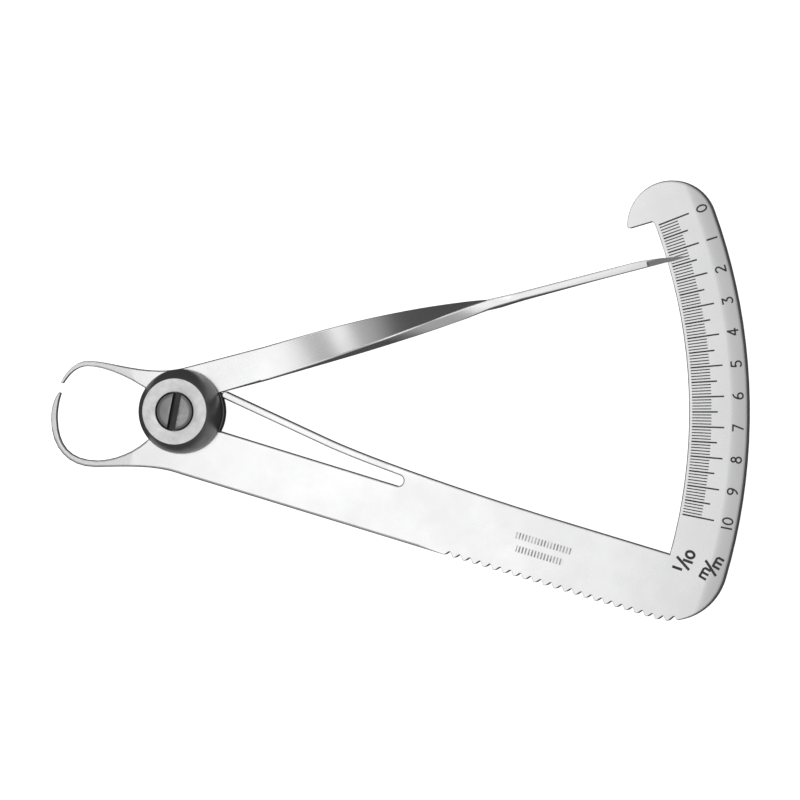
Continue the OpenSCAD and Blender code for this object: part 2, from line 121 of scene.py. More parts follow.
# Position on the sky's ramp, from the horizon up, and brightness there
SKY_STOPS = ((0.08, 0.09), (0.2, 0.26), (0.4, 0.42), (0.8, 0.38), (1.0, 0.6))
# The floor's glow and colour to the camera, and its colour in every reflection
FLOOR_GLOW, FLOOR_PALE, FLOOR_DARK = 0.93, 0.9, 0.16
SENSOR_WIDTH = 36


# Selection and mesh helpers

def deselect_all():
    if bpy.context.object and bpy.context.object.mode != "OBJECT":
        bpy.ops.object.mode_set(mode="OBJECT")
    bpy.ops.object.select_all(action="DESELECT")


def make_active(piece):
    deselect_all()
    piece.select_set(True)
    bpy.context.view_layer.objects.active = piece


def edit(piece, select_mode="VERT"):
    """Goes into edit mode on one piece with nothing selected."""
    make_active(piece)
    bpy.ops.object.mode_set(mode="EDIT")
    bpy.ops.mesh.select_mode(type=select_mode)
    bpy.ops.mesh.select_all(action="DESELECT")


def leave_edit():
    bpy.ops.object.mode_set(mode="OBJECT")


def select_parts(piece, kind, test):
    """Selects the vertices, edges or faces for which test is true. Starts and ends in edit mode."""
    bpy.ops.object.mode_set(mode="OBJECT")
    mesh = piece.data
    for part in {"VERT": mesh.vertices, "EDGE": mesh.edges, "FACE": mesh.polygons}[kind]:
        part.select = bool(test(part))
    bpy.ops.object.mode_set(mode="EDIT")


def copy_of_node(node, name, merge=SAME_PLACE):
    """A copy of a CAD node with its loose triangles merged into clean flat faces."""
    mesh = frame["nodes"][node].data.copy()
    mesh.name = name
    mesh.materials.clear()
    piece = bpy.data.objects.new(name, mesh)
    bpy.context.scene.collection.objects.link(piece)
    edit(piece)
    bpy.ops.mesh.select_all(action="SELECT")
    bpy.ops.mesh.customdata_custom_splitnormals_clear()
    bpy.ops.mesh.remove_doubles(threshold=merge)
    bpy.ops.mesh.dissolve_limited(angle_limit=FLAT_ANGLE)
    leave_edit()
    return piece


def faces_by_edge(mesh):
    found = {}
    for face in mesh.polygons:
        for key in face.edge_keys:
            found.setdefault(key, []).append(face)
    return found


def set_bevel_weights(mesh, width, weight_of):
    """Gives each edge the weight that weight_of(edge, its ends, its faces) returns.

    Where edges meet on a bend, a change of width puts a spike in the bevel that grows as the bend
    gets gentler. The wider one is narrowed until that spike stays within its edge.
    """
    neighbours = faces_by_edge(mesh)
    weights = {}
    meeting = {}
    for edge in mesh.edges:
        a, b = (mesh.vertices[i].co for i in edge.vertices)
        faces = neighbours.get(edge.key, [])
        weight = weight_of(edge, a, b, faces) if len(faces) == 2 else 0
        if weight:
            weights[edge.index] = weight
            for index in edge.vertices:
                meeting.setdefault(index, []).append(edge)
    pairs = []
    for index, edges in meeting.items():
        if len(edges) != 2:
            continue
        here = mesh.vertices[index].co
        arms = [mesh.vertices[sum(edge.vertices) - index].co - here for edge in edges]
        bend = math.pi - arms[0].angle(arms[1])
        if SPIKE_BENDS[0] < bend < SPIKE_BENDS[1]:
            step = SPIKE_SHARE * min(arm.length for arm in arms) * math.tan(bend) / width
            pairs.append((edges[0].index, edges[1].index, step))
    changed = True
    while changed:
        changed = False
        for first, second, step in pairs:
            if weights[first] > weights[second]:
                first, second = second, first
            if weights[second] > weights[first] + step + 1e-4:
                weights[second] = weights[first] + step
                changed = True
    layer = mesh.attributes.new("bevel_weight_edge", "FLOAT", "EDGE")
    for index, weight in weights.items():
        layer.data[index].value = weight


def apply_bevel(piece, width, segments, limit="WEIGHT", angle=math.radians(40)):
    make_active(piece)
    bpy.ops.object.modifier_add(type="BEVEL")
    bevel = piece.modifiers[-1]
    bevel.width = width
    bevel.segments = segments
    bevel.limit_method = limit
    bevel.angle_limit = angle
    bevel.use_clamp_overlap = False
    bpy.ops.object.modifier_apply(modifier=bevel.name)


def smooth_with_flat_faces(piece, angle=math.radians(32)):
    """Smooth shading whose large flat faces stay flat right up to their rounded edges."""
    make_active(piece)
    bpy.ops.object.shade_smooth_by_angle(angle=angle)
    bpy.ops.object.modifier_add(type="WEIGHTED_NORMAL")
    weighted = piece.modifiers[-1]
    weighted.mode = "FACE_AREA"
    weighted.keep_sharp = True
    bpy.ops.object.modifier_apply(modifier=weighted.name)


def select_open_edges():
    bpy.ops.mesh.select_non_manifold(extend=False, use_wire=False, use_multi_face=False,
                                     use_non_contiguous=False, use_verts=False)


def fill_open_edges(piece):
    edit(piece, "EDGE")
    select_open_edges()
    bpy.ops.mesh.fill()
    bpy.ops.mesh.select_all(action="SELECT")
    bpy.ops.mesh.normals_make_consistent(inside=False)
    leave_edit()


def turned(name, profile):
    """A lathe piece about the pivot axis. profile lists (radius, height) round its section."""
    deselect_all()
    radius, height = profile[0]
    bpy.ops.mesh.primitive_circle_add(vertices=TURNED_STEPS, radius=radius, fill_type="NOTHING",
                                      location=(0, 0, height))
    piece = bpy.context.object
    piece.name = piece.data.name = name
    bpy.ops.object.transform_apply(location=True, rotation=False, scale=False)
    bpy.ops.object.mode_set(mode="EDIT")
    bpy.ops.mesh.select_mode(type="EDGE")
    bpy.ops.mesh.select_all(action="SELECT")
    for next_radius, next_height in profile[1:]:
        bpy.ops.mesh.extrude_edges_move(
            TRANSFORM_OT_translate={"value": (0, 0, next_height - height)})
        ratio = next_radius / radius
        bpy.ops.transform.resize(value=(ratio, ratio, 1), center_override=(0, 0, next_height))
        radius, height = next_radius, next_height
    bpy.ops.mesh.select_all(action="SELECT")
    bpy.ops.mesh.remove_doubles(threshold=SAME_PLACE)
    if profile[0] != profile[-1]:
        bpy.ops.mesh.select_all(action="DESELECT")
        select_open_edges()
        bpy.ops.mesh.edge_face_add()
    bpy.ops.mesh.select_all(action="SELECT")
    bpy.ops.mesh.normals_make_consistent(inside=False)
    leave_edit()
    return piece


def put_in_place(piece, node, body, slot_name, *materials):
    """Ends a piece: its materials, the CAD node it stands for and its body. slot_name is not used.
    """
    for material in materials:
        piece.data.materials.append(material)
    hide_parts(node)
    if body:
        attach(piece, body)


# Node helpers

def new_group(name, inputs, outputs):
    """A new shader node group with the given sockets, and its input and output nodes."""
    group = bpy.data.node_groups.new(name, "ShaderNodeTree")
    for socket, kind, default in inputs:
        made = group.interface.new_socket(name=socket, in_out="INPUT", socket_type=kind)
        made.default_value = default
    for socket, kind in outputs:
        group.interface.new_socket(name=socket, in_out="OUTPUT", socket_type=kind)
    return group, group.nodes.new("NodeGroupInput"), group.nodes.new("NodeGroupOutput")


def math_node(tree, operation, first, second=None, third=None):
    """A Math node; each value is a socket to link or a number."""
    node = tree.nodes.new("ShaderNodeMath")
    node.operation = operation
    for socket, value in zip(node.inputs, (first, second, third)):
        if value is None:
            continue
        if isinstance(value, bpy.types.NodeSocket):
            tree.links.new(value, socket)
        else:
            socket.default_value = value
    return node.outputs["Value"]


def map_range(tree, value, low, high, to_low=0.0, to_high=1.0, kind="LINEAR"):
    node = tree.nodes.new("ShaderNodeMapRange")
    node.interpolation_type = kind
    tree.links.new(value, node.inputs["Value"])
    for name, number in (("From Min", low), ("From Max", high), ("To Min", to_low),
                         ("To Max", to_high)):
        node.inputs[name].default_value = number
    return node.outputs["Result"]


def noise(tree, vector, scale, detail=2.0, roughness=0.5):
    node = tree.nodes.new("ShaderNodeTexNoise")
    node.inputs["Scale"].default_value = scale
    node.inputs["Detail"].default_value = detail
    node.inputs["Roughness"].default_value = roughness
    tree.links.new(vector, node.inputs["Vector"])
    return node.outputs["Fac"]


def object_coordinates(tree, turn=0.0):
    """Object coordinates, turned about Z."""
    coordinate = tree.nodes.new("ShaderNodeTexCoord")
    mapping = tree.nodes.new("ShaderNodeMapping")
    mapping.inputs["Rotation"].default_value = (0, 0, turn)
    tree.links.new(coordinate.outputs["Object"], mapping.inputs["Vector"])
    return mapping.outputs["Vector"]


def split_xyz(tree, vector):
    node = tree.nodes.new("ShaderNodeSeparateXYZ")
    tree.links.new(vector, node.inputs["Vector"])
    return node.outputs["X"], node.outputs["Y"], node.outputs["Z"]


def axis_distance(tree, vector):
    """Distance of a place from the pivot axis."""
    x, y, _ = split_xyz(tree, vector)
    squared = math_node(tree, "MULTIPLY_ADD", y, y, math_node(tree, "MULTIPLY", x, x))
    return math_node(tree, "SQRT", squared)


def shared_group(name):
    """Marks the builder of the node group of this name: it runs once and the group is shared."""
    def wrap(build):
        @functools.wraps(build)
        def get():
            return bpy.data.node_groups.get(name) or build(name)
        return get
    return wrap


@shared_group("Satin grain")
def grain_group(name):
    """Satin grain of ground steel: fine scratches along X, and a slow cloud of handling marks."""
    group, given, result = new_group(
        name,
        [("Depth", "NodeSocketFloat", 1.0), ("Turn", "NodeSocketVector", (0, 0, 0))],
        [("Height", "NodeSocketFloat"), ("Cloud", "NodeSocketFloat"),
         ("Scratch", "NodeSocketFloat")])
    coordinate = group.nodes.new("ShaderNodeTexCoord")
    mapping = group.nodes.new("ShaderNodeMapping")
    group.links.new(coordinate.outputs["Object"], mapping.inputs["Vector"])
    group.links.new(given.outputs["Turn"], mapping.inputs["Rotation"])
    stretched = group.nodes.new("ShaderNodeMapping")
    stretched.inputs["Scale"].default_value = (0.12, 1, 1)
    group.links.new(mapping.outputs["Vector"], stretched.inputs["Vector"])
    scratches = noise(group, stretched.outputs["Vector"], 9000, detail=3)
    pits = noise(group, mapping.outputs["Vector"], 3200, detail=2)
    cloud = noise(group, mapping.outputs["Vector"], 130, detail=4, roughness=0.62)
    texture = math_node(group, "MULTIPLY_ADD", scratches, 0.6, pits)
    scaled = math_node(group, "MULTIPLY", texture, given.outputs["Depth"])
    height = math_node(group, "MULTIPLY", scaled, 1.2e-6)
    group.links.new(height, result.inputs["Height"])
    group.links.new(cloud, result.inputs["Cloud"])
    group.links.new(scratches, result.inputs["Scratch"])
    return group


@shared_group("Edge polish")
def edge_polish_group(name):
    """Mask of the convex edges, where handling has polished the steel."""
    group, given, result = new_group(
        name, [("Low", "NodeSocketFloat", 0.52), ("High", "NodeSocketFloat", 0.62)],
        [("Mask", "NodeSocketFloat")])
    geometry = group.nodes.new("ShaderNodeNewGeometry")
    node = group.nodes.new("ShaderNodeMapRange")
    group.links.new(geometry.outputs["Pointiness"], node.inputs["Value"])
    group.links.new(given.outputs["Low"], node.inputs["From Min"])
    group.links.new(given.outputs["High"], node.inputs["From Max"])
    group.links.new(node.outputs["Result"], result.inputs["Mask"])
    return group


@shared_group("Rim crown")
def rim_crown_group(name):
    """Height of the scale band's crowned outer rim: zero on the flat and negative beyond it."""
    group, given, result = new_group(
        name,
        [("Radius", "NodeSocketFloat", 0.08), ("Width", "NodeSocketFloat", 0.0016),
         ("Slope", "NodeSocketFloat", 0.25)],
        [("Height", "NodeSocketFloat")])
    radius = axis_distance(group, object_coordinates(group))
    start = math_node(group, "SUBTRACT", given.outputs["Radius"], given.outputs["Width"])
    beyond = math_node(group, "MAXIMUM", math_node(group, "SUBTRACT", radius, start), 0.0)
    share = math_node(group, "DIVIDE", beyond, given.outputs["Width"])
    fall = math_node(group, "MULTIPLY", share, beyond)
    height = math_node(group, "MULTIPLY", math_node(group, "MULTIPLY", fall, -0.5),
                       given.outputs["Slope"])
    group.links.new(height, result.inputs["Height"])
    return group


@shared_group("Turning rings")
def turning_group(name):
    """Concentric lathe rings about the pivot axis."""
    group, given, result = new_group(
        name, [("Pitch", "NodeSocketFloat", 0.00012), ("Depth", "NodeSocketFloat", 0.0000008)],
        [("Height", "NodeSocketFloat"), ("Cloud", "NodeSocketFloat")])
    vector = object_coordinates(group)
    radius = axis_distance(group, vector)
    cloud = noise(group, vector, 700, detail=4, roughness=0.6)
    wander = math_node(group, "MULTIPLY", cloud, 4.0)
    turns = math_node(group, "DIVIDE", math_node(group, "MULTIPLY", radius, math.tau),
                      given.outputs["Pitch"])
    ring = math_node(group, "SINE", math_node(group, "ADD", turns, wander))
    height = math_node(group, "MULTIPLY", ring, given.outputs["Depth"])
    group.links.new(height, result.inputs["Height"])
    group.links.new(cloud, result.inputs["Cloud"])
    return group


@shared_group("Etched dash rows")
def dash_rows_group(name):
    """Two rows of short etched dashes on the blade, a plain stand-in for a workshop stamp."""
    group, given, result = new_group(
        name, [("Pitch", "NodeSocketFloat", 0.00047)], [("Mask", "NodeSocketFloat")])
    vector = object_coordinates(group, turn=-BLADE_ANGLE)
    u, v, z = split_xyz(group, vector)
    rows = []
    half_height, soft_edge = 0.52, 0.12
    for start, end, middle in ((51.3, 59.6, -2.95), (51.9, 58.9, -4.75)):
        length_mask = math_node(group, "MULTIPLY",
                                math_node(group, "GREATER_THAN", u, start * MM),
                                math_node(group, "LESS_THAN", u, end * MM))
        away = math_node(group, "ABSOLUTE", math_node(group, "SUBTRACT", v, middle * MM))
        row = map_range(group, away, half_height * MM, (half_height - soft_edge) * MM)
        rows.append(math_node(group, "MULTIPLY", length_mask, row))
    both = math_node(group, "MAXIMUM", rows[0], rows[1])
    phase = math_node(group, "FRACT", math_node(group, "DIVIDE", u, given.outputs["Pitch"]))
    bar = math_node(group, "ABSOLUTE", math_node(group, "SUBTRACT", phase, 0.5))
    dash = map_range(group, bar, 0.3, 0.16)
    worn = map_range(group, noise(group, vector, 900, detail=3), 0.3, 0.62, 0.35, 1.0)
    face = map_range(group, z, PLATE_HIGH.z - 0.1 * MM, PLATE_HIGH.z - 0.05 * MM)
    mask = math_node(group, "MULTIPLY", math_node(group, "MULTIPLY", both, dash),
                     math_node(group, "MULTIPLY", worn, face))
    group.links.new(mask, result.inputs["Mask"])
    return group


def principled(name, metallic, roughness, colour):
    material = bpy.data.materials.new(name)
    material.use_nodes = True
    tree = material.node_tree
    shader = tree.nodes["Principled BSDF"]
    shader.inputs["Metallic"].default_value = metallic
    shader.inputs["Roughness"].default_value = roughness
    shader.inputs["Base Color"].default_value = (*colour, 1)
    material.diffuse_color = (*colour, 1)
    return material, tree, shader


def add_group(tree, group, **values):
    node = tree.nodes.new("ShaderNodeGroup")
    node.node_tree = group
    for name, value in values.items():
        node.inputs[name].default_value = value
    return node


def colour_mix(tree, factor, low, high):
    """Mixes two colours; each is a socket or an RGB triple."""
    node = tree.nodes.new("ShaderNodeMix")
    node.data_type = "RGBA"
    tree.links.new(factor, node.inputs[MIX_FACTOR])
    for socket, value in ((node.inputs[MIX_LOW], low), (node.inputs[MIX_HIGH], high)):
        if isinstance(value, bpy.types.NodeSocket):
            tree.links.new(value, socket)
        else:
            socket.default_value = (*value, 1)
    return node.outputs[MIX_RESULT]


def add_bump(tree, shader, height):
    bump = tree.nodes.new("ShaderNodeBump")
    bump.inputs["Strength"].default_value = 1.0
    bump.inputs["Distance"].default_value = 1.0
    tree.links.new(height, bump.inputs["Height"])
    tree.links.new(bump.outputs["Normal"], shader.inputs["Normal"])


def shaded(colour, factor):
    return tuple(channel * factor for channel in colour)


def satin_steel(name, turn, stamped=False):
    """Satin ground stainless steel, with polished edges and, on the plate, a crowned scale rim."""
    finish = bpy.context.scene.caliper_finish
    colour = tuple(finish.steel_colour)
    material, tree, shader = principled(name, 1.0, finish.satin_roughness, colour)
    grain = add_group(tree, grain_group(), Turn=(0, 0, turn))
    polish = add_group(tree, edge_polish_group())
    cloud = map_range(tree, grain.outputs["Cloud"], 0.34, 0.66)
    tint = colour_mix(tree, cloud, shaded(colour, 0.975), colour)
    tint = colour_mix(tree, polish.outputs["Mask"], tint, shaded(colour, 1.04))
    rough = math_node(tree, "MULTIPLY_ADD", cloud, -0.035, finish.satin_roughness + 0.02)
    rough = math_node(tree, "MULTIPLY_ADD", polish.outputs["Mask"], -0.08, rough)
    height = grain.outputs["Height"]
    if stamped:
        crown = add_group(tree, rim_crown_group(), Radius=SCALE_R, Width=0.0026, Slope=0.26)
        height = math_node(tree, "ADD", height, crown.outputs["Height"])
        dashes = add_group(tree, dash_rows_group())
        tint = colour_mix(tree, dashes.outputs["Mask"], tint, shaded(colour, 0.42))
        rough = math_node(tree, "MULTIPLY_ADD", dashes.outputs["Mask"], 0.2, rough)
    tree.links.new(tint, shader.inputs["Base Color"])
    tree.links.new(rough, shader.inputs["Roughness"])
    add_bump(tree, shader, height)
    return material


def turned_steel(name, factor, roughness, ring_depth, seam_z=None):
    """Lathe-turned steel with fine concentric rings, and painted shade in the seam or slot at
    seam_z.
    """
    finish = bpy.context.scene.caliper_finish
    colour = shaded(tuple(finish.steel_colour), factor)
    material, tree, shader = principled(name, 1.0, roughness, colour)
    rings = add_group(tree, turning_group(), Depth=ring_depth)
    cloud = map_range(tree, rings.outputs["Cloud"], 0.3, 0.7)
    tint = colour_mix(tree, cloud, shaded(colour, 0.88), shaded(colour, 1.06))
    # Painted shade: the colour darkens towards seam_z, standing in for the shade in the seam under
    # the disc or in the screw's slot.
    if seam_z is not None:
        z = split_xyz(tree, object_coordinates(tree))[2]
        painted_crevice_shade = map_range(tree, z, seam_z + 0.75 * MM, seam_z + 0.15 * MM, kind="SMOOTHSTEP")
        tint = colour_mix(tree, painted_crevice_shade, tint, shaded(colour, 0.16))
    tree.links.new(tint, shader.inputs["Base Color"])
    rough = math_node(tree, "MULTIPLY_ADD", cloud, -0.08, roughness + 0.04)
    tree.links.new(rough, shader.inputs["Roughness"])
    add_bump(tree, shader, rings.outputs["Height"])
    return material


def black_filling():
    """Matt black wax in the engraving, slightly uneven."""
    colour = tuple(bpy.context.scene.caliper_finish.filling_colour)
    material, tree, shader = principled("Black filling", 0.0, 0.7, colour)
    grain = add_group(tree, grain_group(), Depth=2.0)
    tint = colour_mix(tree, map_range(tree, grain.outputs["Scratch"], 0.35, 0.7), colour,
                      shaded(colour, 2.6))
    tree.links.new(tint, shader.inputs["Base Color"])
    add_bump(tree, shader, grain.outputs["Height"])
    return material


def finish_node(node, material):
    """Gives a CAD node that stays visible a better material."""
    mesh = frame["nodes"][node].data
    for index in range(len(mesh.materials)):
        mesh.materials[index] = material
    if not mesh.materials:
        mesh.materials.append(material)


# Sizes and colours that a user may change

class CaliperSizes(PropertyGroup):
    edge_round: FloatProperty(
        name="Edge rounding", description="Rounding of the plate's outer edges",
        default=0.42 * MM, unit="LENGTH", precision=5)
    lever_round: FloatProperty(
        name="Lever rounding", description="Rounding of the pointer lever's edges",
        default=0.42 * MM, unit="LENGTH", precision=5)
    screw_round: FloatProperty(
        name="Slot rounding", description="Rounding of the screwdriver slot's edges",
        default=0.05 * MM, unit="LENGTH", precision=5)
    finger_step: FloatProperty(
        name="Finger step", description="Spacing of the cuts that let the finger bend evenly",
        default=0.9 * MM, unit="LENGTH", precision=5)


class CaliperFinish(PropertyGroup):
    steel_colour: FloatVectorProperty(
        name="Steel", description="Base colour of the stainless steel", subtype="COLOR", size=3,
        default=(0.86, 0.86, 0.865), min=0, max=1)
    satin_roughness: FloatProperty(
        name="Satin roughness", description="Roughness of the ground sheet", default=0.27,
        min=0.05, max=1)
    filling_colour: FloatVectorProperty(
        name="Filling", description="Colour of the filled engraving", subtype="COLOR", size=3,
        default=(0.04, 0.04, 0.04), min=0, max=1)
    bronze_colour: FloatVectorProperty(
        name="Bronze", description="Colour of the shim washer", subtype="COLOR", size=3,
        default=(0.62, 0.42, 0.22), min=0, max=1)


class CaliperStudio(PropertyGroup):
    tilt: FloatProperty(
        name="View tilt", description="Angle between the line of sight and the plate's normal",
        default=math.radians(13.1), subtype="ANGLE")
    view_width: FloatProperty(
        name="View width", description="Width that the camera sees at the plate",
        default=0.1126, unit="LENGTH", precision=5)
    view_distance: FloatProperty(
        name="View distance", description="Distance from the camera to the plate",
        default=1.6, unit="LENGTH")
    top_light: FloatProperty(
        name="Top light", description="Power of the soft light that the flat steel mirrors",
        default=0.052, unit="POWER")
    strip_light: FloatProperty(
        name="Strip light", description="Power of the long light beyond the lever",
        default=0.07, unit="POWER")


# Pieces

def in_blade(point):
    """A point's place along and across the blade, in metres."""
    flat = Vector((point.x, point.y, 0))
    return flat.dot(ALONG), flat.dot(ACROSS)


def straighten_arc(piece, radius):
    """Moves the vertices of an arc about the finger's hinge on to the straight line across it."""
    line = Vector((math.cos(KNUCKLE_ANGLE), math.sin(KNUCKLE_ANGLE), 0))
    levels = {}
    for vertex in piece.data.vertices:
        offset = Vector((vertex.co.x - HINGE.x, vertex.co.y - HINGE.y, 0))
        if abs(offset.length - radius) < 0.004 * MM:
            levels.setdefault(round(vertex.co.z / MM, 2), []).append((offset.dot(line), vertex))
    counts = sorted(len(found) for found in levels.values())
    if counts != [ARC_STEPS + 1] * 2:
        raise RuntimeError(f"the arc about the finger's hinge has {counts} vertices")
    for found in levels.values():
        found.sort(key=lambda pair: -pair[0])
        for index, (_, vertex) in enumerate(found):
            place = line * (FINGER_T / 2 - FINGER_T * index / ARC_STEPS)
            vertex.co.x = HINGE.x + place.x
            vertex.co.y = HINGE.y + place.y


def on_seam(mesh):
    """Test for parts that lie wholly on the straight line across the finger's hinge."""
    normal = Vector((math.sin(KNUCKLE_ANGLE), -math.cos(KNUCKLE_ANGLE), 0))

    def test(part):
        return all(
            abs((mesh.vertices[i].co - HINGE).dot(normal)) < 1e-8
            and (Vector(mesh.vertices[i].co[:2]) - HINGE.to_2d()).length < 0.53 * MM
            for i in part.vertices)
    return test


def is_long_edge(mesh):
    """Test for the blade's long straight lower edges."""
    def test(edge):
        a, b = (mesh.vertices[i].co for i in edge.vertices)
        return (a - b).length > 30 * MM and in_blade((a + b) / 2)[1] < -7 * MM
    return test


def plate_edge_weight(edge, a, b, faces):
    """How strongly an edge of the plate is rounded: outline edges only, finer on small features."""
    flat = [face for face in faces if abs(face.normal.z) > 0.9]
    wall = [face for face in faces if abs(face.normal.z) < 0.3]
    if len(flat) != 1 or len(wall) != 1:
        return 0
    if (a - b).length < 1e-9 or (a.xy.length < BOSS_R and b.xy.length < BOSS_R):
        return 0
    middle = (a + b) / 2
    if min(a.z, b.z) > PLATE_HIGH.z - 0.12 * MM and wall[0].area < (a - b).length * 0.2 * MM:
        return 0
    u, v = in_blade(middle)
    jaw_tip = middle.x < -16.5 * MM and abs(middle.y - 0.6 * MM) < 2.6 * MM
    jaw = middle.x < -5 * MM
    teeth = v < -7 * MM and 41.5 * MM < u < 77.1 * MM and (a - b).length < 2 * MM
    finger = -1.5 * MM < v < 5 * MM and u < 34.5 * MM
    inside_hook = middle.y > 20 * MM and middle.xy.length < 73.5 * MM
    outside = middle.xy.length > 74 * MM or v < -7 * MM
    places = ((jaw_tip, 0.38), (jaw, 0.78), (teeth, 0.2), (finger, 0.6), (inside_hook, 0.3),
              (outside, 1.0), (True, 0.6))
    return next(weight for here, weight in places if here)


def split_finger(plate, cut):
    """Cuts the finger off the plate square across its root and returns it as its own piece."""
    edit(plate)
    bpy.ops.mesh.select_all(action="SELECT")
    bpy.ops.mesh.bisect(plane_co=ALONG * cut, plane_no=ALONG)
    mesh = plate.data

    def in_cut(part):
        ends = [in_blade(mesh.vertices[i].co) for i in part.vertices]
        return all(abs(u - cut) < SAME_PLACE and v > -0.5 * MM for u, v in ends)

    bpy.ops.mesh.select_mode(type="EDGE")
    select_parts(plate, "EDGE", in_cut)
    bpy.ops.mesh.edge_split(type="EDGE")
    bpy.ops.mesh.select_all(action="DESELECT")
    bpy.ops.mesh.select_mode(type="VERT")
    bpy.ops.object.mode_set(mode="OBJECT")
    nose_at = ALONG * 5 * MM + ACROSS * 4 * MM
    nose = min(mesh.vertices, key=lambda vertex: (vertex.co.xy - nose_at.xy).length).index
    bpy.ops.object.mode_set(mode="EDIT")
    select_parts(plate, "VERT", lambda vertex: vertex.index == nose)
    bpy.ops.mesh.select_linked()
    bpy.ops.mesh.separate(type="SELECTED")
    leave_edit()
    finger = next(piece for piece in bpy.context.selected_objects if piece != plate)
    finger.name = finger.data.name = "finger_strip"
    return finger


class CALIPER_OT_plate(Operator):
    """Build the fixed plate and the spring finger that is cut out of it"""
    bl_idname = "caliper.plate"
    bl_label = "Plate and finger"

    def execute(self, context):
        sizes = context.scene.caliper_sizes
        plate = copy_of_node("fixed_plate", "plate_body")
        strip = copy_of_node("spring_finger", "finger_copy")
        straighten_arc(plate, SOCKET_R)
        straighten_arc(strip, FINGER_T / 2)
        deselect_all()
        strip.select_set(True)
        plate.select_set(True)
        context.view_layer.objects.active = plate
        bpy.ops.object.join()

        edit(plate, "FACE")
        select_parts(plate, "FACE", on_seam(plate.data))
        bpy.ops.mesh.delete(type="ONLY_FACE")
        bpy.ops.mesh.select_all(action="SELECT")
        bpy.ops.mesh.remove_doubles(threshold=SAME_PLACE)
        bpy.ops.mesh.dissolve_limited(angle_limit=FLAT_ANGLE)
        leave_edit()

        edit(plate, "EDGE")
        select_parts(plate, "EDGE", is_long_edge(plate.data))
        bpy.ops.mesh.subdivide(number_cuts=9)
        leave_edit()
        set_bevel_weights(plate.data, sizes.edge_round, plate_edge_weight)
        apply_bevel(plate, sizes.edge_round, 4)
        finger = split_finger(plate, FINGER_CUT)
        edit(finger)
        cut = STEPS_FROM
        while cut > STEPS_TO:
            bpy.ops.mesh.select_all(action="SELECT")
            bpy.ops.mesh.bisect(plane_co=ALONG * cut, plane_no=ALONG)
            cut -= sizes.finger_step
        leave_edit()
        for piece in (plate, finger):
            fill_open_edges(piece)
            smooth_with_flat_faces(piece)

        put_in_place(plate, "fixed_plate", "frame", "satin_steel",
                     satin_steel("Satin steel, plate", -BLADE_ANGLE, stamped=True))
        put_in_place(finger, "spring_finger", None, "satin_steel",
                     satin_steel("Satin steel, finger", -BLADE_ANGLE))
        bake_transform(finger)
        return {"FINISHED"}


class CALIPER_OT_arm(Operator):
    """Build the pointer arm: jaw, twisted lever and needle in one piece"""
    bl_idname = "caliper.arm"
    bl_label = "Pointer arm"

    def execute(self, context):
        arm = copy_of_node("pointer_arm", "arm_body", merge=0.02 * MM)
        tip = max(vertex.co.xy.length for vertex in arm.data.vertices)
        # The short step where the twist starts is cut out and the two clean sections are joined
        lever = Vector((math.cos(LEVER_ANGLE), math.sin(LEVER_ANGLE), 0))
        edit(arm, "EDGE")
        for cut in TWIST_STEP:
            bpy.ops.mesh.select_all(action="SELECT")
            bpy.ops.mesh.bisect(plane_co=lever * cut, plane_no=lever)
        bpy.ops.mesh.select_mode(type="FACE")
        start, end = TWIST_STEP
        select_parts(arm, "FACE", lambda face: start < face.center.dot(lever) < end)
        bpy.ops.mesh.delete(type="FACE")
        bpy.ops.mesh.select_mode(type="EDGE")
        bpy.ops.mesh.select_all(action="DESELECT")
        select_open_edges()
        bpy.ops.mesh.bridge_edge_loops()
        bpy.ops.mesh.select_all(action="SELECT")
        bpy.ops.mesh.normals_make_consistent(inside=False)
        leave_edit()

        def arm_edge_weight(edge, a, b, faces):
            if faces[0].normal.angle(faces[1].normal) < math.radians(50):
                return 0
            far = max(a.xy.length, b.xy.length)
            if far < BOSS_R or (a - b).length < 1e-9:
                return 0
            middle = (a + b) / 2
            if middle.x < 0:
                return 0.24 if middle.x < -15 * MM else 0.66
            left = (tip - far) / MM
            return next(weight for reach, weight in NEEDLE_WEIGHTS if left < reach)

        width = context.scene.caliper_sizes.lever_round
        set_bevel_weights(arm.data, width, arm_edge_weight)
        apply_bevel(arm, width, 3)
        smooth_with_flat_faces(arm, math.radians(28))
        put_in_place(arm, "pointer_arm", "lever", "satin_steel",
                     satin_steel("Satin steel, arm", -LEVER_ANGLE))
        return {"FINISHED"}


